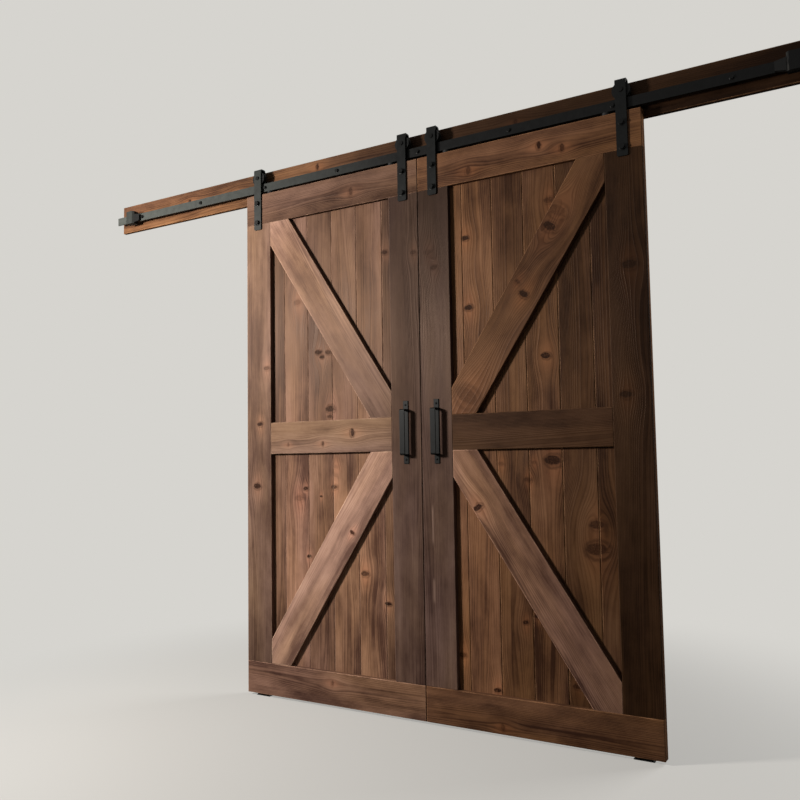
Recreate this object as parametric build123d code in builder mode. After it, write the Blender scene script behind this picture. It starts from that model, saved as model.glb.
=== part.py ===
"""Pair of board and batten barn doors hung from a flat track on a header board.

Millimetres, +X along the wall to the right, +Y into the wall, +Z up.
The origin is the centre of the header board's wall face.
"""
import os
from math import floor

from build123d import *

os.makedirs("parts", exist_ok=True)

# Leaves
leaf_width = 914.0
leaf_height = 2260.0
pair_gap = 3.0
board_thickness = 19.0
plank_thickness = 19.0
stile_width = 138.0
top_rail_width = 140.0
mid_rail_width = 140.0
bottom_rail_width = 138.0
mid_rail_centre = 1130.0
brace_foot = 105.0
brace_rise = 106.0
board_ease = 1.5

# Tongue and groove planks behind the face boards
plank_cover = 130.2
inner_strip_width = 57.5
outer_strip_width = 75.3
tongue_length = 7.5
tongue_thickness = 6.0
tongue_clearance = 0.25
plank_vee = 2.5

# Header board
header_length = 3622.0
header_height = 140.0
header_thickness = 19.0
header_ease = 2.0
leaf_header_gap = 7.0

# Flat track and the bolts that carry it
track_length = 3616.0
track_height = 38.0
track_thickness = 6.0
track_drop = 16.5
track_bolt_pitch = 406.4
track_bolt_end_margin = 40.0
track_bolt_radius = 4.0
track_bolt_head = 13.0
track_bolt_head_height = 6.5
track_bolt_recess = 0.5
spacer_radius = 10.0
bolt_hole_clearance = 0.3

# Hangers
strap_width = 40.0
strap_thickness = 6.0
strap_bend_radius = 9.0
strap_corner_radius = 6.0
strap_end_drop = 166.0
strap_back_drop = 17.0
upper_bolt_drop = 42.0
lower_bolt_drop = 133.0
strap_bolt_radius = 5.0
strap_bolt_head = 19.0
strap_bolt_head_height = 10.0
strap_nut = 17.0
strap_nut_height = 8.0

# Wheels and their axles
wheel_roll_radius = 27.0
wheel_flange_radius = 33.0
wheel_width = 21.0
wheel_side_gap = 0.5
groove_side_clearance = 0.5
groove_flare = 1.0
wheel_track_gap = 0.3
wheel_top_gap = 3.0
axle_radius = 6.0
axle_clearance = 0.05
axle_head_radius = 8.5
axle_head_height = 4.0
axle_nut = 18.0
axle_nut_height = 7.0

# Anti jump discs on the leaf tops
leaf_track_gap = 12.5
disc_radius = 15.0
disc_height = 10.0
disc_set_back = 16.0
disc_offset = 60.0

# End stops clamped on the track
left_stop_inset = 76.0
right_stop_inset = 363.0
stop_width = 57.0
stop_rise = 16.0
stop_drop = 10.0
stop_front_cheek = 20.0
stop_back_cheek = 8.0
stop_bevel = 8.0

# Rubber buffers on the end stops
buffer_length = 36.0
buffer_base_height = 44.0
buffer_tip_height = 32.0
buffer_base_depth = 14.0
buffer_tip_depth = 11.0
buffer_drop = 2.0
buffer_set_forward = 7.0

# Floor guides that run in a rebate behind each bottom rail
floor_gap = 12.0
guide_inset = 75.5
guide_slot_width = 6.0
guide_slot_depth = 22.0
guide_clearance = 0.3
guide_top_clearance = 4.0
guide_fin_length = 60.0
guide_base_length = 72.0
guide_base_reach = 36.0
guide_base_thickness = 3.0
guide_hole_spacing = 44.0
guide_hole_set_back = 20.0
guide_hole_radius = 2.25

# Pull handles
handle_centre = 1136.0
handle_bar_width = 22.0
handle_plate_length = 256.0
handle_plate_thickness = 4.0
handle_bar_thickness = 5.0
handle_grip_length = 187.0
handle_reach = 36.0
handle_bend_radius = 8.0
handle_ease = 0.8

# Levels and planes that follow from the sizes
header_front = -header_thickness
leaf_back = header_front - leaf_header_gap
plank_front = leaf_back - plank_thickness
leaf_front = plank_front - board_thickness
strap_front = leaf_front - strap_thickness
wheel_front = leaf_front + wheel_side_gap
wheel_back = wheel_front + wheel_width
wheel_centre = wheel_front + wheel_width / 2
track_front = wheel_centre - track_thickness / 2
track_back = wheel_centre + track_thickness / 2
strap_back_inner = wheel_back + wheel_side_gap
strap_back = strap_back_inner + strap_thickness
track_centre = -track_drop
track_top = track_centre + track_height / 2
track_bottom = track_centre - track_height / 2
axle_height = track_top + wheel_roll_radius + wheel_track_gap
strap_inner_top = axle_height + wheel_flange_radius + wheel_top_gap
strap_top = strap_inner_top + strap_thickness
leaf_top = track_bottom - leaf_track_gap
leaf_bottom = leaf_top - leaf_height
floor_level = leaf_bottom - floor_gap
rail_top = leaf_top - top_rail_width
mid_top = leaf_bottom + mid_rail_centre + mid_rail_width / 2
mid_bottom = leaf_bottom + mid_rail_centre - mid_rail_width / 2
rail_bottom = leaf_bottom + bottom_rail_width
leaf_near = pair_gap / 2
leaf_far = leaf_near + leaf_width
inner_hanger = leaf_near + stile_width / 2
outer_hanger = leaf_far - stile_width / 2
hangers = {"inner": inner_hanger, "outer": outer_hanger}
strap_bolt_heights = [leaf_top - upper_bolt_drop, leaf_top - lower_bolt_drop]
disc_places = [inner_hanger + disc_offset, outer_hanger - disc_offset]
track_bolt_reach = min(track_length, header_length) / 2 - track_bolt_end_margin
track_bolt_steps = floor(track_bolt_reach / track_bolt_pitch)
track_bolt_places = [
    i * track_bolt_pitch for i in range(-track_bolt_steps, track_bolt_steps + 1)
]
strap_bolt_hole = strap_bolt_radius + bolt_hole_clearance
slot_back = plank_front
slot_front = slot_back - guide_slot_width


def facing(y):
    """Plane seen from the room: its x is +X, its y is +Z and it faces -Y."""
    return Plane(origin=(0, y, 0), x_dir=(1, 0, 0), z_dir=(0, -1, 0))


def side_plane(x):
    """Plane across the wall: its x is +Y and its y is +Z."""
    return Plane(origin=(x, 0, 0), x_dir=(0, 1, 0), z_dir=(1, 0, 0))


def hexagons(spots, across_flats):
    """Hexagons for bolt heads and nuts, added to the sketch in progress."""
    with Locations(*spots):
        RegularPolygon(across_flats / 2, 6, major_radius=False)


def save(part, name):
    part.label = name
    export_step(part, f"parts/{name}.step")


# Header board with clearance holes for the track bolts
with BuildPart() as header_board:
    with BuildSketch(facing(0)):
        Rectangle(header_length, header_height)
    extrude(amount=header_thickness)
    chamfer(header_board.faces().sort_by(Axis.Y)[0].edges(), header_ease)
    with BuildSketch(facing(0)):
        with Locations(*[(x, track_centre) for x in track_bolt_places]):
            Circle(track_bolt_radius + bolt_hole_clearance)
    extrude(amount=header_thickness, mode=Mode.SUBTRACT)
save(header_board.part, "header_board")

# Flat bar track
with BuildPart() as track:
    with BuildSketch(facing(track_back)):
        with Locations((0, track_centre)):
            Rectangle(track_length, track_height)
        with Locations(*[(x, track_centre) for x in track_bolt_places]):
            Circle(track_bolt_radius + bolt_hole_clearance, mode=Mode.SUBTRACT)
    extrude(amount=track_thickness)
save(track.part, "track")

# Spacer tubes that hold the track off the header
with BuildPart() as track_spacers:
    with BuildSketch(facing(header_front)):
        with Locations(*[(x, track_centre) for x in track_bolt_places]):
            Circle(spacer_radius)
            Circle(track_bolt_radius + bolt_hole_clearance, mode=Mode.SUBTRACT)
    extrude(amount=header_front - track_back)
save(track_spacers.part, "track_spacers")

# Hex bolts through the track, a spacer and the header
with BuildPart() as track_bolts:
    bolt_spots = [(x, track_centre) for x in track_bolt_places]
    with BuildSketch(facing(-track_bolt_recess)):
        with Locations(*bolt_spots):
            Circle(track_bolt_radius)
    extrude(amount=-track_bolt_recess - track_front)
    with BuildSketch(facing(track_front)):
        hexagons(bolt_spots, track_bolt_head)
    extrude(amount=track_bolt_head_height)
save(track_bolts.part, "track_bolts")

# End stops: a saddle over the track
stop_places = {
    -1: track_length / 2 - left_stop_inset - stop_width,
    1: track_length / 2 - right_stop_inset - stop_width,
}
stops = [
    sorted((side * near, side * (near + stop_width))) for side, near in stop_places.items()
]
stop_front = track_front - stop_front_cheek
stop_back = track_back + stop_back_cheek
with BuildPart() as end_stops:
    for lo, hi in stops:
        with BuildSketch(side_plane(lo)):
            with BuildLine():
                Polyline(
                    (stop_front, track_bottom - stop_drop),
                    (stop_front, track_top + stop_rise),
                    (stop_back, track_top + stop_rise),
                    (stop_back, track_bottom - stop_drop),
                    (track_back, track_bottom - stop_drop),
                    (track_back, track_top),
                    (track_front, track_top),
                    (track_front, track_bottom - stop_drop),
                    close=True,
                )
            make_face()
        extrude(amount=hi - lo)
    front_faces = end_stops.faces().group_by(Axis.Y)[0]
    chamfer(front_faces.edges().filter_by(Axis.Z), stop_bevel)
save(end_stops.part, "end_stops")

# Tapered rubber buffers that meet the hanger straps
buffer_centre = track_front - buffer_set_forward, track_centre - buffer_drop
with BuildPart() as stop_buffers:
    for side, distance in stop_places.items():
        with BuildSketch(side_plane(side * distance)):
            with Locations(buffer_centre):
                Rectangle(buffer_base_depth, buffer_base_height)
        with BuildSketch(side_plane(side * (distance - buffer_length))):
            with Locations(buffer_centre):
                Rectangle(buffer_tip_depth, buffer_tip_height)
        loft()
save(stop_buffers.part, "stop_buffers")

# Floor guides: an angle whose fin stands in the rebate behind the bottom rail
guide_places = (guide_inset - leaf_far, leaf_far - guide_inset)
fin_front = slot_front + guide_clearance
fin_back = slot_back - guide_clearance
fin_top = leaf_bottom + guide_slot_depth - guide_top_clearance
guide_hole_spots = [
    (x + offset, fin_back + guide_hole_set_back)
    for x in guide_places
    for offset in (-guide_hole_spacing / 2, guide_hole_spacing / 2)
]
with BuildPart() as floor_guides:
    for x in guide_places:
        with BuildSketch(Plane.XY.offset(floor_level)):
            with Locations((x, fin_front)):
                Rectangle(
                    guide_base_length, guide_base_reach, align=(Align.CENTER, Align.MIN)
                )
        extrude(amount=guide_base_thickness)
        with BuildSketch(Plane.XY.offset(floor_level + guide_base_thickness)):
            with Locations((x, fin_front)):
                Rectangle(
                    guide_fin_length, fin_back - fin_front, align=(Align.CENTER, Align.MIN)
                )
        extrude(amount=fin_top - floor_level - guide_base_thickness)
    with BuildSketch(Plane.XY.offset(floor_level)):
        with Locations(*guide_hole_spots):
            Circle(guide_hole_radius)
    extrude(amount=guide_base_thickness, mode=Mode.SUBTRACT)
save(floor_guides.part, "floor_guides")


# Face boards of a leaf, side is -1 for the left leaf and 1 for the right
def face_board(outline, side, bolt_holes=(), rebated=False):
    """Flat board with eased front edges; the outline is distance from centre, height."""
    points = [(side * x, z) for x, z in outline]
    with BuildPart() as board:
        with BuildSketch(facing(plank_front)):
            with BuildLine():
                Polyline(*points, close=True)
            make_face()
        extrude(amount=board_thickness)
        chamfer(board.faces().sort_by(Axis.Y)[0].edges(), board_ease)
        if bolt_holes:
            with BuildSketch(facing(plank_front)):
                with Locations(*[(side * x, z) for x, z in bolt_holes]):
                    Circle(strap_bolt_hole)
            extrude(amount=board_thickness, mode=Mode.SUBTRACT)
        if rebated:
            with BuildSketch(facing(slot_back)):
                with Locations((side * (leaf_near + leaf_far) / 2, leaf_bottom)):
                    Rectangle(leaf_width, 2 * guide_slot_depth)
            extrude(amount=guide_slot_width, mode=Mode.SUBTRACT)
    return board.part


def box_outline(near, far, low, high):
    return [(near, low), (far, low), (far, high), (near, high)]


def brace_outline(low, high, rises_outward):
    """Six corners of a diagonal board cut to fill two opposite corners of a panel."""
    near = leaf_near + stile_width
    far = leaf_far - stile_width
    if rises_outward:
        return [
            (near, low),
            (near + brace_foot, low),
            (far, high - brace_rise),
            (far, high),
            (far - brace_foot, high),
            (near, low + brace_rise),
        ]
    return [
        (near, high),
        (near, high - brace_rise),
        (far - brace_foot, low),
        (far, low),
        (far, low + brace_rise),
        (near + brace_foot, high),
    ]


strap_holes = [(x, z) for x in hangers.values() for z in strap_bolt_heights]
handle_height = leaf_bottom + handle_centre


def make_face_boards(name, side):
    stile_edge = leaf_near + stile_width
    panel_edge = leaf_far - stile_width
    boards = {
        "inner_stile": face_board(
            box_outline(leaf_near, stile_edge, rail_bottom, rail_top), side
        ),
        "outer_stile": face_board(
            box_outline(panel_edge, leaf_far, rail_bottom, rail_top), side
        ),
        "top_rail": face_board(
            box_outline(leaf_near, leaf_far, rail_top, leaf_top), side, strap_holes
        ),
        "mid_rail": face_board(
            box_outline(stile_edge, panel_edge, mid_bottom, mid_top), side
        ),
        "bottom_rail": face_board(
            box_outline(leaf_near, leaf_far, leaf_bottom, rail_bottom), side, rebated=True
        ),
        "upper_brace": face_board(brace_outline(mid_top, rail_top, True), side),
        "lower_brace": face_board(brace_outline(rail_bottom, mid_bottom, False), side),
    }
    for board, part in boards.items():
        save(part, f"{name}_{board}")


def plank_outline(near, far, grooved, tongued):
    """Plan section of one plank: distance from centre and depth behind its face."""
    middle = plank_thickness / 2
    half = tongue_thickness / 2
    wide = half + tongue_clearance
    deep = tongue_length + tongue_clearance
    points = [(near + plank_vee * grooved, 0), (far - plank_vee * tongued, 0)]
    if tongued:
        points += [
            (far, plank_vee),
            (far, middle - half),
            (far + tongue_length, middle - half),
            (far + tongue_length, middle + half),
            (far, middle + half),
        ]
    points += [(far, plank_thickness), (near, plank_thickness)]
    if grooved:
        points += [
            (near, middle + wide),
            (near + deep, middle + wide),
            (near + deep, middle - wide),
            (near, middle - wide),
            (near, plank_vee),
        ]
    return points


def make_plank(edges, i, side):
    """One plank between two seams, with holes where hanger bolts pass it."""
    last = i == len(edges) - 2
    outline = plank_outline(edges[i], edges[i + 1], i > 0, not last)
    reach = edges[i + 1] if last else edges[i + 1] + tongue_length
    spots = [
        (side * x, z)
        for x, z in strap_holes
        if edges[i] - strap_bolt_hole < x < reach + strap_bolt_hole
    ]
    with BuildPart() as plank:
        with BuildSketch(Plane.XY.offset(leaf_bottom)):
            with BuildLine():
                Polyline(*[(side * x, plank_front + y) for x, y in outline], close=True)
            make_face()
        extrude(amount=leaf_height)
        if spots:
            with BuildSketch(facing(leaf_back)):
                with Locations(*spots):
                    Circle(strap_bolt_hole)
            extrude(amount=plank_thickness, mode=Mode.SUBTRACT)
    return plank.part


def make_planks(name, side):
    span = leaf_width - inner_strip_width - outer_strip_width
    full = round(span / plank_cover)
    start = leaf_near + inner_strip_width
    seams = [start + span * i / full for i in range(full + 1)]
    edges = [leaf_near] + seams + [leaf_far]
    save(make_plank(edges, 0, side), f"{name}_inner_strip")
    save(make_plank(edges, full + 1, side), f"{name}_outer_strip")
    planks = [make_plank(edges, i, side) for i in range(1, full + 1)]
    save(Compound(children=planks), f"{name}_planks")


def hanger_outline():
    """Side section of a strap bent over its wheel: front leg, top and back leg."""
    return [
        (strap_front, leaf_top - strap_end_drop),
        (strap_front, strap_top),
        (strap_back, strap_top),
        (strap_back, axle_height - strap_back_drop),
        (strap_back_inner, axle_height - strap_back_drop),
        (strap_back_inner, strap_inner_top),
        (leaf_front, strap_inner_top),
        (leaf_front, leaf_top - strap_end_drop),
    ]


def make_straps(name, side):
    with BuildPart() as straps:
        for x in hangers.values():
            with BuildSketch(side_plane(side * x - strap_width / 2)) as section:
                with BuildLine():
                    Polyline(*hanger_outline(), close=True)
                make_face()
                inner_radius = strap_bend_radius - strap_thickness
                fillet(section.vertices().group_by(Axis.Y)[-2], inner_radius)
                fillet(section.vertices().group_by(Axis.Y)[-1], strap_bend_radius)
            extrude(amount=strap_width)
        ends = straps.edges().filter_by(Axis.Y).group_by(Axis.Z)
        fillet(ends[0], strap_corner_radius)
        with BuildSketch(facing(leaf_front)):
            with Locations(*[(side * x, z) for x, z in strap_holes]):
                Circle(strap_bolt_hole)
        extrude(amount=strap_thickness, mode=Mode.SUBTRACT)
        with BuildSketch(facing(strap_back)):
            with Locations(*[(side * x, axle_height) for x in hangers.values()]):
                Circle(axle_radius + axle_clearance)
        extrude(amount=strap_back - strap_front, mode=Mode.SUBTRACT)
    save(straps.part, f"{name}_hanger_straps")


def make_strap_bolts(name, side):
    """Hex bolts through strap, rail and planks, each in one piece with its nut."""
    spots = [(side * x, z) for x, z in strap_holes]
    with BuildPart() as bolts:
        with BuildSketch(facing(leaf_back)):
            with Locations(*spots):
                Circle(strap_bolt_radius)
        extrude(amount=leaf_back - strap_front)
        with BuildSketch(facing(strap_front)):
            hexagons(spots, strap_bolt_head)
        extrude(amount=strap_bolt_head_height)
        with BuildSketch(facing(leaf_back + strap_nut_height)):
            hexagons(spots, strap_nut)
        extrude(amount=strap_nut_height)
    save(bolts.part, f"{name}_strap_bolts")


def make_axles(name, side):
    """Round headed axle bolts across the straps, each in one piece with its nut."""
    spots = [(side * x, axle_height) for x in hangers.values()]
    with BuildPart() as axles:
        with BuildSketch(facing(strap_back)):
            with Locations(*spots):
                Circle(axle_radius)
        extrude(amount=strap_back - strap_front)
        with BuildSketch(facing(strap_front)):
            with Locations(*spots):
                Circle(axle_head_radius)
        extrude(amount=axle_head_height)
        with BuildSketch(facing(strap_back + axle_nut_height)):
            hexagons(spots, axle_nut)
        extrude(amount=axle_nut_height)
    save(axles.part, f"{name}_axle_bolts")


def make_wheels(name, side):
    """Grooved wheels: the profile is depth along the axle and radius."""
    half = wheel_width / 2
    groove = track_thickness / 2 + groove_side_clearance
    outline = [
        (-half, axle_radius + axle_clearance),
        (-half, wheel_flange_radius),
        (-groove - groove_flare, wheel_flange_radius),
        (-groove, wheel_roll_radius),
    ]
    outline += [(-depth, radius) for depth, radius in reversed(outline)]
    for place, x in hangers.items():
        centre = (side * x, wheel_centre, axle_height)
        with BuildPart() as wheel:
            with BuildSketch(Plane(origin=centre, x_dir=(0, 1, 0), z_dir=(1, 0, 0))):
                with BuildLine():
                    Polyline(*outline, close=True)
                make_face()
            revolve(axis=Axis(centre, (0, 1, 0)))
        save(wheel.part, f"{name}_{place}_wheel")


def make_discs(name, side):
    with BuildPart() as discs:
        with BuildSketch(Plane.XY.offset(leaf_top)):
            with Locations(*[(side * x, leaf_front + disc_set_back) for x in disc_places]):
                Circle(disc_radius)
        extrude(amount=disc_height)
    save(discs.part, f"{name}_jump_discs")


def make_handle(name, side):
    x = side * inner_hanger
    plate_front = leaf_front - handle_plate_thickness
    with BuildPart() as plate:
        with BuildSketch(facing(leaf_front)):
            with Locations((x, handle_height)):
                Rectangle(handle_bar_width, handle_plate_length)
        extrude(amount=handle_plate_thickness)
        chamfer(plate.faces().sort_by(Axis.Y)[0].edges(), handle_ease)
    save(plate.part, f"{name}_handle_plate")
    grip_front = leaf_front - handle_reach
    half = handle_grip_length / 2
    inner = half - handle_bar_thickness
    with BuildPart() as grip:
        with BuildSketch(side_plane(x - handle_bar_width / 2)) as section:
            with BuildLine():
                Polyline(
                    (plate_front, handle_height - half),
                    (grip_front, handle_height - half),
                    (grip_front, handle_height + half),
                    (plate_front, handle_height + half),
                    (plate_front, handle_height + inner),
                    (grip_front + handle_bar_thickness, handle_height + inner),
                    (grip_front + handle_bar_thickness, handle_height - inner),
                    (plate_front, handle_height - inner),
                    close=True,
                )
            make_face()
            inner_radius = handle_bend_radius - handle_bar_thickness
            fillet(section.vertices().group_by(Axis.X)[1], inner_radius)
            fillet(section.vertices().group_by(Axis.X)[0], handle_bend_radius)
        extrude(amount=handle_bar_width)
    save(grip.part, f"{name}_handle_grip")


for name, side in (("left", -1), ("right", 1)):
    make_face_boards(name, side)
    make_planks(name, side)
    make_straps(name, side)
    make_strap_bolts(name, side)
    make_axles(name, side)
    make_wheels(name, side)
    make_discs(name, side)
    make_handle(name, side)
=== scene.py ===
"""Looks for the pair of barn doors: stained knotty pine boards and satin black steel."""
import math

import bpy
from mathutils import Matrix, Vector


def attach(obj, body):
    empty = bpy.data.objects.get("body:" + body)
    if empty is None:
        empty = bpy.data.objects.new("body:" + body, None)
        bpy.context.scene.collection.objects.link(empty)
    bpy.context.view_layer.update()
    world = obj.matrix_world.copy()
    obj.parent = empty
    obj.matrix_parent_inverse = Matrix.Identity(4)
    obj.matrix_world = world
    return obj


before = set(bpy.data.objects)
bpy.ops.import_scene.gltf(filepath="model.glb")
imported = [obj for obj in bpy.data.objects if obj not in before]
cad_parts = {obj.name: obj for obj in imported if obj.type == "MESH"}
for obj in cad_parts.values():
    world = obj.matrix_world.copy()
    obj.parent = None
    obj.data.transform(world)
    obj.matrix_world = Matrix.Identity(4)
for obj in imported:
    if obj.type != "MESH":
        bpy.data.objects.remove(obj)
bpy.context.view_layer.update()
scene = bpy.context.scene

# Sizes in metres, as the part has them
LEAF_BOTTOM = -2.308
LEAF_TOP = -0.048
LEAF_NEAR = 0.0015
LEAF_FAR = 0.9155
STILE = 0.138
TOP_RAIL = 0.140
BOTTOM_RAIL = 0.138
INNER_STRIP = 0.0575
OUTER_STRIP_HALF = 0.0376
PLANK = 0.1302
MID = LEAF_BOTTOM + 1.130
BRACE_RUN, BRACE_RISE = 0.533, 0.816
UPPER_BRACE = MID + 0.5295
LOWER_BRACE = MID - 0.5305
FLOOR = -2.320
STUD_STEP = 0.4064
TRACK_FRONT = -0.056
TRACK_MIDDLE = -0.053
TRACK_Z = -0.0165
STRAP_FRONT = -0.070
STRAP_BOLT_DROPS = (0.042, 0.133)
HANDLE = LEAF_BOTTOM + 1.136
HANDLE_SCREW = 0.111
PLATE_FRONT = -0.068
DISC_Y = -0.048
DISC_TOP = -0.038
DISC_OFFSET = 0.06
GUIDE_X = 0.84
GUIDE_SCREW = 0.022
GUIDE_SCREW_Y = -0.0253
GUIDE_PLATE = 0.003


# Node building helpers
def linear(rgb):
    """An 8 bit display colour as the linear colour that the shaders use."""
    return tuple(
        (c / 255 / 12.92) if c <= 10.3 else ((c / 255 + 0.055) / 1.055) ** 2.4 for c in rgb
    )


class Graph:
    """Adds nodes to one tree; a value is a number, a tuple or another node's socket."""

    def __init__(self, tree):
        self.tree = tree

    def set(self, socket, value):
        if isinstance(value, bpy.types.NodeSocket):
            self.tree.links.new(value, socket)
        elif isinstance(value, tuple) and socket.type == "RGBA" and len(value) == 3:
            socket.default_value = (*value, 1)
        else:
            socket.default_value = value

    def add(self, kind, inputs, **props):
        node = self.tree.nodes.new(kind)
        for key, value in props.items():
            setattr(node, key, value)
        for key, value in inputs.items():
            self.set(node.inputs[key], value)
        return node

    def math(self, operation, a, b=0.0, c=0.0):
        inputs = {0: a, 1: b, 2: c}
        return self.add("ShaderNodeMath", inputs, operation=operation).outputs[0]

    def vector(self, x, y, z):
        return self.add("ShaderNodeCombineXYZ", {0: x, 1: y, 2: z}).outputs[0]

    def dot(self, a, b):
        node = self.add("ShaderNodeVectorMath", {0: a, 1: b}, operation="DOT_PRODUCT")
        return node.outputs["Value"]

    def noise(self, vector, scale, detail=2.0, rough=0.5, warp=0.0):
        inputs = {"Vector": vector, "Scale": scale, "Detail": detail}
        inputs.update({"Roughness": rough, "Distortion": warp})
        return self.add("ShaderNodeTexNoise", inputs).outputs["Fac"]

    def remap(self, value, low, high, to_low=0.0, to_high=1.0, smooth=False):
        inputs = {"Value": value, "From Min": low, "From Max": high}
        inputs.update({"To Min": to_low, "To Max": to_high})
        kind = "SMOOTHSTEP" if smooth else "LINEAR"
        return self.add("ShaderNodeMapRange", inputs, interpolation_type=kind).outputs[0]

    def mix(self, factor, a, b, blend="MIX"):
        node = self.tree.nodes.new("ShaderNodeMix")
        node.data_type = "RGBA"
        node.blend_type = blend
        self.set(node.inputs["Factor"], factor)
        self.set(node.inputs[6], a)
        self.set(node.inputs[7], b)
        return node.outputs[2]

    def ramp(self, factor, stops, mode="LINEAR"):
        node = self.add("ShaderNodeValToRGB", {"Fac": factor})
        node.color_ramp.interpolation = mode
        while len(node.color_ramp.elements) < len(stops):
            node.color_ramp.elements.new(1.0)
        for element, (place, colour) in zip(node.color_ramp.elements, stops):
            element.position = place
            element.color = (*colour, 1)
        return node.outputs["Color"]


def new_material(name):
    """A material with an empty tree, its graph and its Principled shader."""
    material = bpy.data.materials.new(name)
    material.use_nodes = True
    tree = material.node_tree
    tree.nodes.clear()
    shader = tree.nodes.new("ShaderNodeBsdfPrincipled")
    output = tree.nodes.new("ShaderNodeOutputMaterial")
    tree.links.new(shader.outputs[0], output.inputs[0])
    return material, Graph(tree), shader


def assign(node, material):
    """Gives a node of the part one material all over."""
    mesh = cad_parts[node].data
    mesh.materials.clear()
    mesh.materials.append(material)
    for polygon in mesh.polygons:
        polygon.material_index = 0


# Knots: lengths inside the group are in knot radii, and the noise is in metres
def knot_group():
    """A dark ragged oval with rings and a crack, and the bend of the grain round it."""
    group = bpy.data.node_groups.new("knot", "ShaderNodeTree")
    for name in ("U", "V", "At U", "At V", "Radius", "Depth"):
        group.interface.new_socket(name, in_out="INPUT", socket_type="NodeSocketFloat")
    for name in ("Bend", "Dark", "Halo"):
        group.interface.new_socket(name, in_out="OUTPUT", socket_type="NodeSocketFloat")
    g = Graph(group)
    source = group.nodes.new("NodeGroupInput").outputs
    sink = group.nodes.new("NodeGroupOutput").inputs
    du = g.math("DIVIDE", g.math("SUBTRACT", source["U"], source["At U"]), source["Radius"])
    dv = g.math("DIVIDE", g.math("SUBTRACT", source["V"], source["At V"]), source["Radius"])
    spot = g.vector(source["U"], source["V"], source["At U"])
    small_knot = 0.012
    ragged = g.math("MINIMUM", g.math("DIVIDE", small_knot, source["Radius"]), 1.0)
    wobble = g.remap(g.noise(spot, 60.0, 4.0, 0.65), 0.0, 1.0, -0.7, 0.7)
    wobble = g.math("MULTIPLY", wobble, ragged)

    def weighted_squares(along, over):
        return g.math("ADD", g.math("MULTIPLY", g.math("MULTIPLY", du, du), along),
                      g.math("MULTIPLY", g.math("MULTIPLY", dv, dv), over))

    def oval(place_u, place_v, long, wide):
        a = g.math("DIVIDE", g.math("SUBTRACT", du, place_u), long)
        b = g.math("DIVIDE", g.math("SUBTRACT", dv, place_v), wide)
        squares = g.math("ADD", g.math("MULTIPLY", a, a), g.math("MULTIPLY", b, b))
        return g.math("ADD", g.math("SQRT", squares), wobble)

    outline = oval(0.0, 0.0, 0.95, 1.30)
    body = g.remap(outline, 1.2, 0.8, smooth=True)
    rings = g.math("SINE", g.math("MULTIPLY", outline, 16.0))
    rings = g.math("MULTIPLY_ADD", rings, 0.12, 0.36)
    bark = g.remap(g.math("ABSOLUTE", g.math("SUBTRACT", outline, 0.92)), 0.3, 0.05, 0.0, 0.62)
    large_knots = g.remap(source["Radius"], 0.022, 0.034)
    bark = g.math("MULTIPLY", bark, large_knots)
    flake = g.remap(g.noise(spot, 210.0, 3.0, 0.6), 0.32, 0.5, 0.55, 1.0)
    heart = g.remap(oval(0.1, -0.2, 0.62, 1.15), 1.1, 0.72, smooth=True)
    crack = g.remap(oval(-0.15, 0.2, 0.16, 1.3), 1.0, 0.5, smooth=True)
    dark = g.math("MAXIMUM", g.math("MULTIPLY", body, rings), g.math("MULTIPLY", heart, flake))
    dark = g.math("MAXIMUM", dark, bark)
    dark = g.math("MAXIMUM", dark, g.math("MULTIPLY", crack, 0.7))
    g.set(sink["Dark"], g.math("MINIMUM", g.math("MULTIPLY", dark, source["Depth"]), 1.0))
    pull = g.math("EXPONENT", g.math("MULTIPLY", weighted_squares(0.05, 0.14), -1.0))
    offset = g.math("SUBTRACT", source["V"], source["At V"])
    g.set(sink["Bend"], g.math("MULTIPLY", g.math("MULTIPLY", offset, pull), -0.8))
    halo = g.math("EXPONENT", g.math("MULTIPLY", weighted_squares(0.10, 0.5), -1.0))
    g.set(sink["Halo"], halo)
    return group


KNOT = knot_group()


def add_knots(g, u, v, knots):
    """The bent coordinate across the grain, and the darkness and halo of the listed knots."""
    bent, dark, halo = v, 0.0, 0.0
    for at_u, at_v, radius, depth in knots:
        node = g.add("ShaderNodeGroup", {}, node_tree=KNOT)
        values = {"U": u, "V": v, "At U": at_u, "At V": at_v, "Radius": radius, "Depth": depth}
        for key, value in values.items():
            g.set(node.inputs[key], value)
        bent = g.math("ADD", bent, node.outputs["Bend"])
        dark = g.math("MAXIMUM", dark, node.outputs["Dark"])
        halo = g.math("MAXIMUM", halo, node.outputs["Halo"])
    return bent, dark, halo


# Four stains, each as the dark, middle and pale tone of one board
def stain(dark, middle, pale):
    return [linear(c) for c in (dark, middle, pale)]


WARM = stain((56, 35, 25), (109, 76, 53), (146, 107, 77))
SOFT = stain((58, 39, 32), (110, 82, 66), (148, 116, 97))
# PALE, used only on the left leaf, is partly the wood's tone and partly painted sheen of the window
PALE = stain((76, 55, 46), (128, 100, 83), (164, 134, 113))
DEEP = stain((46, 32, 28), (78, 60, 52), (104, 84, 74))

# Tints that multiply a stain, and how knots, wear, painted edge highlights and year rings are drawn
AMBER, MAUVE, RUDDY = (1.02, 1.0, 0.89), (1.00, 1.0, 1.08), (1.10, 0.88, 0.78)
KNOTTY = (0.36, 0.25, 0.23)
WORN_AND_HIGHLIGHT = 1.9
KNOT_SPREAD = 1.35
KNOT_STRENGTH = 1.4
RINGS_PER_METRE = 210.0
PITH_BEHIND = 0.095


def scaled(colour, factor):
    return tuple(min(1.0, c * factor) for c in colour)


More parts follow.
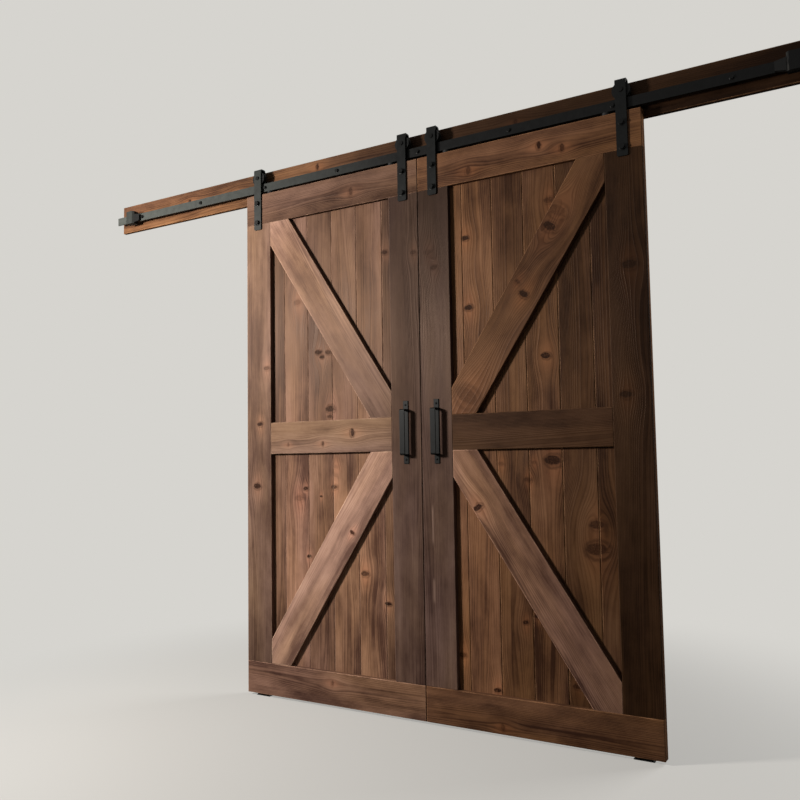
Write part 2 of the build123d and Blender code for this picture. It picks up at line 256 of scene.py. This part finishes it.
def wood(name, grain, centre, seed, stained, level=1.0, knots=(), planks=None, pith=0.0, painted_light_fade=None,
         scars=()):
    """Stained knotty pine.

    grain is the board's direction as (x, z) and centre a point on its middle line. level
    scales the stain, and also paints shade: boards further from the window lamp are set
    darker. A knot is its place (x, height on the leaf), radius and depth, in mm.
    planks lists the levels of six boards side by side. pith is how far the heart of the
    trunk lies off the middle line. fade is a distance either way from the centre and the
    levels spread over it, which paint the lamp's light along the board, its falloff and
    sheen. A scar is a pale scrape: its place and its length, in mm.
    """
    material, g, shader = new_material(name)
    co = g.add("ShaderNodeTexCoord", {}).outputs["Object"]
    length = math.hypot(*grain)
    gx, gz = grain[0] / length, grain[1] / length
    u = g.math("SUBTRACT", g.dot(co, (gx, 0, gz)), centre[0] * gx + centre[1] * gz)
    v = g.math("SUBTRACT", g.dot(co, (gz, 0, -gx)), centre[0] * gz - centre[1] * gx)
    w = g.dot(co, (0, 1, 0))

    def on_board(x, z):
        """A place on the leaf in mm, as metres along and across the board."""
        x, z = x / 1000 - centre[0], z / 1000 + LEAF_BOTTOM - centre[1]
        return x * gx + z * gz, x * gz - z * gx

    spots = [(*on_board(x, z), radius / 1000 * KNOT_SPREAD, min(1.2, depth * KNOT_STRENGTH))
             for x, z, radius, depth in knots]
    bent, dark, halo = add_knots(g, u, v, spots)
    index = 0.0
    if planks:
        side = 1 if centre[0] > 0 else -1
        across = g.math("MULTIPLY", g.dot(co, (1, 0, 0)), side)
        start = LEAF_NEAR + INNER_STRIP
        steps = g.math("DIVIDE", g.math("SUBTRACT", across, start), PLANK)
        index = g.math("FLOOR", steps)
        middle = g.math("MULTIPLY", g.math("ADD", index, 0.5), PLANK)
        middle = g.math("MULTIPLY", g.math("ADD", middle, start), side)
        bent = g.math("SUBTRACT", bent, g.math("SUBTRACT", middle, centre[0]))
    shift = g.math("MULTIPLY_ADD", index, 3.71, seed * 1.37)
    place = g.vector(g.math("ADD", u, shift), bent, g.math("ADD", w, shift))

    def stretched(along, over):
        factors = (along, over, over)
        return g.add("ShaderNodeVectorMath", {0: place, 1: factors}, operation="MULTIPLY").outputs[0]

    drift = g.noise(stretched(1.1, 4.0), 1.0, 2.0)
    slope = g.noise(stretched(0.45, 0.0), 1.0, 1.0)
    off = g.math("MULTIPLY_ADD", g.math("SUBTRACT", slope, 0.5), 0.16, pith)
    x = g.math("ADD", g.math("SUBTRACT", bent, off), g.math("MULTIPLY_ADD", drift, 0.05, -0.025))
    y = g.math("ADD", w, PITH_BEHIND)
    r = g.math("SQRT", g.math("ADD", g.math("MULTIPLY", x, x), g.math("MULTIPLY", y, y)))
    turn = g.math("MULTIPLY_ADD", r, RINGS_PER_METRE, g.math("MULTIPLY", drift, 2.2))
    year = g.math("FRACT", turn)
    late = g.math("MULTIPLY", g.remap(year, 0.35, 0.9, smooth=True), g.remap(year, 1.0, 0.93))
    fibre = g.noise(stretched(7.0, 420.0), 1.0, 3.0, 0.6)
    streak = g.noise(stretched(1.1, 26.0), 1.0, 3.0, 0.55, 0.4)
    patch = g.noise(stretched(1.5, 6.0), 1.0, 3.0, 0.55)
    glaze = g.noise(stretched(7.0, 13.0), 1.0, 4.0, 0.65)
    value = 0.50
    for layer, weight in ((streak, 0.46), (patch, 0.95), (fibre, 0.36), (glaze, 0.48)):
        value = g.math("MULTIPLY_ADD", g.math("SUBTRACT", layer, 0.5), weight, value)
    for layer, weight in ((late, -0.12), (halo, 0.20)):
        value = g.math("MULTIPLY_ADD", layer, weight, value)
    dark_tone, middle_tone, pale_tone = (scaled(tone, level) for tone in stained)
    worn_and_highlight_tone = scaled(pale_tone, WORN_AND_HIGHLIGHT)
    stops = [(0.0, scaled(dark_tone, 0.7)), (0.25, dark_tone), (0.55, middle_tone), (0.95, pale_tone)]
    colour = g.ramp(value, stops)
    if planks:
        levels = [planks[0], *planks, planks[-1]]
        key = g.math("DIVIDE", g.math("ADD", index, 1.5), float(len(levels)))
        levels = [(i / len(levels), (p, p, p)) for i, p in enumerate(levels)]
        colour = g.mix(1.0, colour, g.ramp(key, levels, "CONSTANT"), "MULTIPLY")
    if painted_light_fade:
        reach, *ends = painted_light_fade
        ends = [(i / (len(ends) - 1), (f, f, f)) for i, f in enumerate(ends)]
        colour = g.mix(1.0, colour, g.ramp(g.remap(u, -reach, reach), ends), "MULTIPLY")
    hue = g.noise(stretched(1.3, 7.0), 1.0, 2.0)
    colour = g.mix(1.0, colour, g.ramp(hue, [(0.35, MAUVE), (0.65, AMBER)]), "MULTIPLY")
    colour = g.mix(g.math("MULTIPLY", halo, 0.7), colour, g.mix(1.0, colour, RUDDY, "MULTIPLY"))
    colour = g.mix(dark, colour, tuple(c * k for c, k in zip(dark_tone, KNOTTY)))
    for x, z, span in scars:
        at_u, at_v = on_board(x, z)
        along = g.math("ABSOLUTE", g.math("SUBTRACT", u, at_u))
        aside = g.math("MULTIPLY_ADD", drift, -0.010, g.math("SUBTRACT", v, at_v))
        aside = g.math("ABSOLUTE", g.math("ADD", aside, 0.005))
        scar = g.remap(aside, 0.0065, 0.001, 0.0, 0.8)
        scar = g.math("MULTIPLY", scar, g.remap(fibre, 0.3, 0.55, 0.4, 1.0))
        scar = g.math("MULTIPLY", scar, g.remap(along, span / 2000, span / 3400, smooth=True))
        colour = g.mix(scar, colour, worn_and_highlight_tone)
    normal = g.add("ShaderNodeNewGeometry", {}).outputs["Normal"]
    # Every edge is painted paler: partly a worn arris, partly a painted highlight where edges catch the
    # light
    arris = g.add("ShaderNodeBevel", {"Radius": 0.0035}, samples=4).outputs[0]
    rim = g.remap(g.dot(normal, arris), 0.995, 0.90)
    rubbed_and_highlit = g.math("MULTIPLY", rim, g.remap(g.noise(co, 14.0, 3.0), 0.30, 0.60))
    colour = g.mix(g.math("MULTIPLY", rubbed_and_highlit, 0.8), colour, worn_and_highlight_tone)
    g.set(shader.inputs["Base Color"], colour)
    gloss = g.math("MULTIPLY_ADD", glaze, 0.22, 0.34)
    gloss = g.math("MULTIPLY_ADD", late, -0.05, gloss)
    # Sawn edges are duller than the planed faces
    sawn = g.remap(g.math("ABSOLUTE", g.dot(normal, (0, 1, 0))), 0.3, 0.8, 0.35, 0.0)
    gloss = g.math("ADD", gloss, sawn)
    g.set(shader.inputs["Roughness"], g.math("MULTIPLY_ADD", dark, 0.12, gloss))
    shader.inputs["Specular IOR Level"].default_value = 0.1
    shader.inputs["Specular Tint"].default_value = (1.0, 0.62, 0.42, 1)
    height = g.math("MULTIPLY_ADD", fibre, 0.5, g.math("MULTIPLY", late, 0.5))
    height = g.math("MULTIPLY_ADD", dark, -0.6, height)
    height = g.math("MULTIPLY_ADD", streak, 0.5, height)
    inputs = {"Height": height, "Strength": 0.8, "Distance": 0.0006, "Normal": arris}
    g.set(shader.inputs["Normal"], g.add("ShaderNodeBump", inputs).outputs[0])
    return material


# Painted reflection: the window's grey sheen on the black steel, strongest at the left end and gone
# before the middle
PAINTED_SHEEN = linear((98, 102, 98))
SHEEN_FROM, SHEEN_TO = -1.75, -0.1


def black_steel(name, base=(7, 8, 7), rough=0.42, worn=(58, 57, 55), amount=0.5, sheen_amount=0.0):
    """Satin black coating: fine orange peel, faint mottle, worn edges and a painted grey window sheen at
    the left.
    """
    material, g, shader = new_material(name)
    co = g.add("ShaderNodeTexCoord", {}).outputs["Object"]
    mottle = g.noise(co, 38.0, 4.0, 0.6)
    speck = g.noise(co, 900.0, 2.0, 0.6)
    colour = g.mix(g.remap(mottle, 0.3, 0.7), linear(base), linear([c + 6 for c in base]))
    # Painted sheen of the window's reflection, pale at the left end and fading out towards the middle
    dust_and_sheen = g.remap(g.dot(co, (1, 0, 0)), SHEEN_FROM, SHEEN_TO, sheen_amount, 0.0)
    dust_and_sheen = g.math("MULTIPLY", dust_and_sheen, g.remap(mottle, 0.3, 0.7, 0.75, 1.0))
    colour = g.mix(dust_and_sheen, colour, PAINTED_SHEEN)
    normal = g.add("ShaderNodeNewGeometry", {}).outputs["Normal"]
    sides = [g.math("ABSOLUTE", g.dot(normal, axis)) for axis in ((1, 0, 0), (0, 1, 0), (0, 0, 1))]
    most = g.math("MAXIMUM", g.math("MAXIMUM", sides[0], sides[1]), sides[2])
    edge = g.remap(most, 0.97, 0.8, smooth=True)
    edge = g.math("MULTIPLY", edge, g.remap(g.noise(co, 60.0, 3.0), 0.35, 0.7))
    colour = g.mix(g.math("MULTIPLY", edge, amount), colour, linear(worn))
    g.set(shader.inputs["Base Color"], colour)
    g.set(shader.inputs["Roughness"], g.math("MULTIPLY_ADD", mottle, 0.16, rough - 0.08))
    shader.inputs["Specular IOR Level"].default_value = 0.10
    height = g.math("MULTIPLY_ADD", speck, 0.6, g.math("MULTIPLY", mottle, 0.4))
    bump = g.add("ShaderNodeBump", {"Height": height, "Strength": 0.25, "Distance": 0.0003})
    g.set(shader.inputs["Normal"], bump.outputs[0])
    return material


def matt_black(name, base, rough):
    """Moulded rubber or nylon with a fine grain."""
    material, g, shader = new_material(name)
    co = g.add("ShaderNodeTexCoord", {}).outputs["Object"]
    dust_and_sheen = g.noise(co, 120.0, 4.0, 0.65)
    g.set(shader.inputs["Base Color"],
          g.mix(g.remap(dust_and_sheen, 0.35, 0.8), linear(base), linear([c + 9 for c in base])))
    g.set(shader.inputs["Roughness"], g.math("MULTIPLY_ADD", dust_and_sheen, 0.2, rough - 0.1))
    shader.inputs["Specular IOR Level"].default_value = 0.2
    grain = g.noise(co, 1400.0, 2.0)
    bump = g.add("ShaderNodeBump", {"Height": grain, "Strength": 0.3, "Distance": 0.0002})
    g.set(shader.inputs["Normal"], bump.outputs[0])
    return material


def wheel_steel(name):
    """Black wheel whose groove and tread are rubbed bright where they run on the track."""
    material, g, shader = new_material(name)
    co = g.add("ShaderNodeTexCoord", {}).outputs["Object"]
    depth = g.math("ABSOLUTE", g.math("SUBTRACT", g.dot(co, (0, 1, 0)), TRACK_MIDDLE))
    rubbed_and_highlit = g.remap(depth, 0.0055, 0.0035)
    scratch = g.noise(co, 140.0, 3.0, 0.7)
    rubbed_and_highlit = g.math("MULTIPLY", rubbed_and_highlit, g.remap(scratch, 0.3, 0.6, 0.3, 0.8))
    mottle = g.noise(co, 60.0, 4.0)
    black = g.mix(mottle, linear((8, 8, 8)), linear((18, 18, 18)))
    g.set(shader.inputs["Base Color"], g.mix(rubbed_and_highlit, black, linear((62, 60, 58))))
    g.set(shader.inputs["Metallic"], g.math("MULTIPLY", rubbed_and_highlit, 0.6))
    g.set(shader.inputs["Roughness"], g.math("MULTIPLY_ADD", mottle, 0.2, 0.40))
    shader.inputs["Specular IOR Level"].default_value = 0.1
    bump = g.add("ShaderNodeBump", {"Height": scratch, "Strength": 0.2, "Distance": 0.0002})
    g.set(shader.inputs["Normal"], bump.outputs[0])
    return material


# Boards of each leaf
def leaf_boards(name, side, looks):
    """Gives every board of one leaf its own material, with its grain and middle line."""
    inner = side * (LEAF_NEAR + STILE / 2)
    outer = side * (LEAF_FAR - STILE / 2)
    middle = side * (LEAF_NEAR + LEAF_FAR) / 2
    boards = {
        "inner_stile": ((0, 1), (inner, MID)),
        "outer_stile": ((0, 1), (outer, MID)),
        "top_rail": ((1, 0), (middle, LEAF_TOP - TOP_RAIL / 2)),
        "mid_rail": ((1, 0), (middle, MID)),
        "bottom_rail": ((1, 0), (middle, LEAF_BOTTOM + BOTTOM_RAIL / 2)),
        "upper_brace": ((side * BRACE_RUN, BRACE_RISE), (middle, UPPER_BRACE)),
        "lower_brace": ((-side * BRACE_RUN, BRACE_RISE), (middle, LOWER_BRACE)),
        "inner_strip": ((0, 1), (side * (LEAF_NEAR + INNER_STRIP / 2), MID)),
        "outer_strip": ((0, 1), (side * (LEAF_FAR - OUTER_STRIP_HALF), MID)),
        "planks": ((0, 1), (middle, MID)),
    }
    for number, (board, (grain, centre)) in enumerate(boards.items()):
        look = looks[board]
        node = f"{name}_{board}"
        seed = number * 5.3 + side * 31.0
        assign(node, wood(node, grain, centre, seed, **look))


# Each board's stain and level give its own tone and also paint the window lamp's light: the left leaf is
# set paler, and the right leaf's boards darker outwards as painted shade, down to the nearly black outer
# stile. The gradients along the boards paint the lamp's falloff and sheen.
LEFT = {
    "inner_stile": dict(stained=DEEP, level=0.89, painted_light_fade=(1.1, 1.6, 0.52), pith=0.05,
                        knots=[(-20, 1870, 11, 0.5)]),
    "outer_stile": dict(stained=PALE, level=0.67, painted_light_fade=(1.1, 0.85, 1.33), pith=-0.04,
                        knots=[(-838, 1195, 12, 0.8), (-855, 915, 15, 0.8), (-797, 1448, 12, 0.5)]),
    "top_rail": dict(stained=SOFT, level=0.73, pith=0.03, knots=[(-332, 2180, 13, 0.5)]),
    "mid_rail": dict(stained=PALE, level=0.78, pith=0.0,
                     knots=[(-336, 1140, 12, 0.85), (-490, 1098, 8, 0.6), (-680, 1098, 7, 0.4)]),
    "bottom_rail": dict(stained=SOFT, level=1.19, pith=-0.02, knots=[(-452, 90, 9, 0.4)]),
    "upper_brace": dict(stained=PALE, level=1.05, painted_light_fade=(0.55, 0.58, 1.5), pith=0.05),
    "lower_brace": dict(stained=PALE, level=1.55, painted_light_fade=(0.55, 0.97, 1.05), pith=-0.05,
                        knots=[(-340, 722, 9, 0.8)]),
    "inner_strip": dict(stained=WARM, level=0.64),
    "outer_strip": dict(stained=WARM, level=0.64),
    "planks": dict(stained=SOFT, level=0.79, painted_light_fade=(1.1, 1.33, 1.50, 0.70, 0.77),
                   planks=[0.79, 1.41, 1.29, 1.07, 1.41, 0.90],
                   knots=[(-520, 1500, 12, 0.8), (-503, 1478, 9, 0.8), (-468, 1495, 11, 0.6),
                          (-458, 1248, 17, 0.7), (-463, 1216, 10, 0.6), (-172, 1897, 12, 0.7),
                          (-634, 1735, 15, 0.3), (-595, 905, 10, 0.7), (-630, 862, 17, 0.3),
                          (-580, 612, 8, 0.9), (-514, 872, 5, 0.7), (-442, 912, 12, 0.6),
                          (-290, 552, 14, 0.6), (-178, 437, 10, 0.9), (-432, 998, 10, 0.2)]),
}
RIGHT = {
    "inner_stile": dict(stained=DEEP, level=0.66, painted_light_fade=(1.1, 2.15, 0.38), pith=-0.05,
                        scars=[(45, 766, 180), (45, 508, 110)],
                        knots=[(50, 1860, 14, 0.3), (75, 1795, 12, 0.5)]),
    "outer_stile": dict(stained=WARM, level=0.18, pith=0.02,
                        knots=[(860, 1700, 20, 0.6), (830, 1240, 16, 0.6)]),
    "top_rail": dict(stained=WARM, level=0.86, pith=0.0,
                     knots=[(530, 2200, 10, 0.8), (620, 2172, 11, 0.6), (232, 2160, 13, 0.5)]),
    "mid_rail": dict(stained=WARM, level=0.29, pith=0.04),
    "bottom_rail": dict(stained=WARM, level=0.83, pith=0.03, knots=[(325, 24, 10, 0.4)]),
    "upper_brace": dict(stained=WARM, level=0.56, pith=0.06,
                        knots=[(455, 1640, 15, 0.9), (566, 1882, 20, 0.7), (600, 1935, 26, 0.35),
                               (210, 1262, 38, 0.35), (432, 1690, 10, 0.5)]),
    "lower_brace": dict(stained=SOFT, level=1.25, painted_light_fade=(0.55, 0.88, 1.1), pith=-0.06,
                        knots=[(246, 838, 14, 0.8)]),
    "inner_strip": dict(stained=WARM, level=0.64),
    "outer_strip": dict(stained=WARM, level=0.61, knots=[(757, 1634, 15, 0.7)]),
    "planks": dict(stained=WARM, level=0.71, painted_light_fade=(1.1, 1.16, 1.21, 0.98, 0.90),
                   planks=[1.20, 1.18, 0.83, 0.90, 0.52, 0.53],
                   knots=[(206, 1898, 12, 0.9), (216, 1618, 13, 0.9), (531, 1403, 14, 0.8),
                          (548, 1012, 23, 0.75), (446, 942, 11, 0.5), (704, 692, 29, 0.6),
                          (466, 440, 9, 0.7), (422, 415, 9, 0.7), (302, 152, 11, 0.7),
                          (612, 204, 12, 0.6), (562, 1990, 15, 0.5), (706, 780, 20, 0.6),
                          (338, 1002, 9, 0.3), (472, 1006, 8, 0.3), (158, 268, 12, 0.5)]),
}
leaf_boards("left", -1, LEFT)
leaf_boards("right", 1, RIGHT)
header_knots = [(-1330, 2320, 11, 0.8), (-1010, 2310, 10, 0.8), (-540, 2345, 10, 0.7),
                (420, 2330, 10, 0.6), (1010, 2290, 10, 0.6)]
# The header's gradient is painted light: pale towards the window at the left end, dark painted shade
# from the middle rightwards
assign("header_board", wood("header_board", (1, 0), (0, 0), 17.3, WARM, 0.72, header_knots,
                            pith=0.02, painted_light_fade=(1.8, 1.5, 1.4, 1.0, 0.28, 0.20, 0.22, 0.22)))

# Steel, wheels, rubber and nylon
steel = black_steel("black_steel")
# The track, end stops and straps carry the painted window sheen at the left end
rail = black_steel("rail_steel", (5, 5, 5), sheen_amount=0.6)
stop = black_steel("stop_steel", (6, 6, 6), sheen_amount=0.3)
strap = black_steel("strap_steel", (8, 9, 9), 0.40, (66, 65, 63), 0.6, 0.4)
bolt = black_steel("bolt_steel", (6, 6, 6), 0.36, (60, 58, 56), 0.5)
for node in ("floor_guides", "track_spacers"):
    assign(node, steel)
assign("track", rail)
assign("end_stops", stop)
assign("track_bolts", bolt)
assign("stop_buffers", matt_black("rubber", (8, 8, 8), 0.75))
nylon = matt_black("nylon", (10, 10, 11), 0.6)
wheel = wheel_steel("wheel_steel")
for name in ("left", "right"):
    for part, material in (("hanger_straps", strap), ("handle_plate", steel), ("handle_grip", steel),
                           ("strap_bolts", bolt), ("axle_bolts", bolt), ("jump_discs", nylon),
                           ("inner_wheel", wheel), ("outer_wheel", wheel)):
        assign(f"{name}_{part}", material)


# Small fasteners: round rings about each spot, and the screws' hexagon sockets
def turned(name, body, spots, profile, material, axis="y", steps=24):
    """One piece of round heads that stand off towards -y or up +z.

    A row of profile is its height off the spot, its radius, and 1 where it is a hexagon.
    """
    verts, faces = [], []
    for spot in spots:
        base = len(verts)
        for height, radius, hexagon in profile:
            for i in range(steps):
                turn = 2 * math.pi * i / steps
                reach = radius
                if hexagon:
                    reach = radius * math.cos(math.pi / 6) / math.cos(turn % (math.pi / 3) - math.pi / 6)
                a, b = reach * math.cos(turn), reach * math.sin(turn)
                if axis == "y":
                    verts.append((spot[0] + a, spot[1] - height, spot[2] + b))
                else:
                    verts.append((spot[0] - a, spot[1] + b, spot[2] + height))
        for row in range(len(profile) - 1):
            for i in range(steps):
                j = (i + 1) % steps
                lower, upper = base + row * steps, base + (row + 1) * steps
                faces.append((lower + i, lower + j, upper + j, upper + i))
        top = base + (len(profile) - 1) * steps
        faces.append(tuple(top + i for i in range(steps)))
    mesh = bpy.data.meshes.new(name)
    mesh.from_pydata(verts, [], faces)
    mesh.materials.append(material)
    piece = bpy.data.objects.new(name, mesh)
    scene.collection.objects.link(piece)
    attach(piece, body)


WASHER = [(0, 0.0126, 0), (0.0014, 0.0126, 0), (0.0022, 0.0118, 0), (0.0026, 0.0100, 0)]
SMALL_WASHER = [(0, 0.0088, 0), (0.0012, 0.0088, 0), (0.0017, 0.0080, 0), (0.0020, 0.0070, 0)]
BUTTON = [(0, 0.0047, 0), (0.0009, 0.0047, 0), (0.0018, 0.0040, 0), (0.0024, 0.0026, 0),
          (0.0024, 0.0021, 1), (0.0010, 0.0020, 1)]
bolt_places = [(i * STUD_STEP, TRACK_FRONT, TRACK_Z) for i in range(-4, 5)]
turned("track_washers", "frame", bolt_places, SMALL_WASHER, bolt)
guide_screws = [(side * GUIDE_X + offset, GUIDE_SCREW_Y, FLOOR + GUIDE_PLATE)
                for side in (-1, 1) for offset in (-GUIDE_SCREW, GUIDE_SCREW)]
turned("guide_screws", "frame", guide_screws, BUTTON, bolt, "z")
for name, side in (("left", -1), ("right", 1)):
    inner, outer = side * (LEAF_NEAR + STILE / 2), side * (LEAF_FAR - STILE / 2)
    heads = [(x, STRAP_FRONT, LEAF_TOP - drop) for x in (inner, outer) for drop in STRAP_BOLT_DROPS]
    turned(f"{name}_strap_washers", f"{name}_leaf", heads, WASHER, bolt)
    screws = [(inner, PLATE_FRONT, HANDLE + offset) for offset in (-HANDLE_SCREW, HANDLE_SCREW)]
    turned(f"{name}_handle_screws", f"{name}_leaf", screws, BUTTON, bolt)
    discs = [(inner + side * DISC_OFFSET, DISC_Y, DISC_TOP),
             (outer - side * DISC_OFFSET, DISC_Y, DISC_TOP)]
    turned(f"{name}_disc_screws", f"{name}_leaf", discs, BUTTON, bolt, "z")


# Softened edges where the solids are sharp
def soften(node, width, segments=2):
    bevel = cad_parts[node].modifiers.new("edge", "BEVEL")
    bevel.width = width
    bevel.segments = segments
    bevel.limit_method = "ANGLE"
    bevel.angle_limit = math.radians(40)


for node, width in (("track", 0.0006), ("end_stops", 0.001), ("stop_buffers", 0.003),
                    ("track_bolts", 0.0006), ("floor_guides", 0.0004)):
    soften(node, width)
for name in ("left", "right"):
    for part, width in (("hanger_straps", 0.0008), ("strap_bolts", 0.0009), ("axle_bolts", 0.0010),
                        ("jump_discs", 0.0012), ("handle_plate", 0.0005), ("handle_grip", 0.0007),
                        ("inner_wheel", 0.0008), ("outer_wheel", 0.0008)):
        soften(f"{name}_{part}", width)


# Floor, lights and camera
def plane(name, size, z):
    """A level square of the given side."""
    mesh = bpy.data.meshes.new(name)
    h = size / 2
    mesh.from_pydata([(-h, -h, z), (h, -h, z), (h, h, z), (-h, h, z)], [], [(0, 1, 2, 3)])
    piece = bpy.data.objects.new(name, mesh)
    scene.collection.objects.link(piece)
    return piece


PALE_GREY = linear((214, 212, 207))
floor = plane("floor", 80.0, FLOOR)
paint = bpy.data.materials.new("floor_paint")
paint.use_nodes = True
paint.node_tree.nodes.clear()
g = Graph(paint.node_tree)
path = g.add("ShaderNodeLightPath", {}).outputs
place = g.add("ShaderNodeNewGeometry", {}).outputs["Position"]
away = g.add("ShaderNodeVectorMath", {0: place, 1: (0, 0, FLOOR)}, operation="DISTANCE")
blend = g.remap(away.outputs["Value"], 1.0, 2.6, 0.5, 1.0, True)
even = g.math("MULTIPLY", path["Is Camera Ray"], blend)
tone = g.mix(path["Is Camera Ray"], linear((110, 107, 102)), linear((188, 186, 182)))
matt = g.add("ShaderNodeBsdfDiffuse", {"Color": tone})
plain = g.add("ShaderNodeEmission", {"Color": PALE_GREY, "Strength": 1.0})
mixed = g.add("ShaderNodeMixShader", {0: even, 1: matt.outputs[0], 2: plain.outputs[0]})
g.tree.links.new(mixed.outputs[0], g.tree.nodes.new("ShaderNodeOutputMaterial").inputs[0])
floor.data.materials.append(paint)


def area_light(name, place, aim, size, power, colour=(255, 255, 255), glare=True):
    """A rectangular lamp aimed at a point, in watts; without glare no surface reflects it."""
    data = bpy.data.lights.new(name, "AREA")
    data.shape = "RECTANGLE"
    data.size, data.size_y = size
    data.energy = power
    data.color = linear(colour)
    lamp = bpy.data.objects.new(name, data)
    lamp.location = place
    lamp.visible_glossy = glare
    lamp.rotation_euler = (Vector(aim) - Vector(place)).to_track_quat("-Z", "Y").to_euler()
    scene.collection.objects.link(lamp)


area_light("window", (-2.3, -2.4, -0.25), (0.3, 0.0, -1.2), (0.45, 0.5), 182.0, (255, 250, 244))
area_light("fill", (0.0, -4.5, 1.2), (0.0, 0.0, -1.2), (3.0, 2.0), 7.0)
area_light("back", (2.6, 3.0, 0.3), (0.2, 0.0, -1.2), (2.5, 2.0), 150.0, glare=False)

world = bpy.data.worlds.new("world")
scene.world = world
world.use_nodes = True
world.node_tree.nodes.clear()
w = Graph(world.node_tree)
path = w.add("ShaderNodeLightPath", {}).outputs
seen = w.math("MAXIMUM", path["Is Camera Ray"], path["Is Transmission Ray"])
seen = w.math("MAXIMUM", seen, path["Is Glossy Ray"])
ambient = w.add("ShaderNodeBackground", {"Color": linear((240, 240, 240)), "Strength": 0.085})
shown = w.add("ShaderNodeBackground", {"Color": PALE_GREY, "Strength": 1.0})
both = w.add("ShaderNodeMixShader", {0: seen, 1: ambient.outputs[0], 2: shown.outputs[0]})
out = w.tree.nodes.new("ShaderNodeOutputWorld")
w.tree.links.new(both.outputs[0], out.inputs[0])

# The camera that was fitted to the photo: its turns in radians, its place and its lens
CAMERA_TURNS = ((0.5393, "Z"), (0.0724, "X"), (0.0161, "Y"))
CAMERA_PLACE = (1.6264, -2.9455, -1.2828)
camera_data = bpy.data.cameras.new("camera")
camera_data.sensor_width = 36.0
camera_data.lens = 37.06
camera = bpy.data.objects.new("camera", camera_data)
turn = Matrix.Identity(3)
for angle, axis in CAMERA_TURNS:
    turn = turn @ Matrix.Rotation(angle, 3, axis)
right, forward, up = turn.col[0], turn.col[1], turn.col[2]
pose = Matrix((right, up, -forward)).transposed().to_4x4()
pose.translation = Vector(CAMERA_PLACE)
camera.matrix_world = pose
scene.collection.objects.link(camera)
scene.camera = camera
scene.view_settings.view_transform = "Standard"
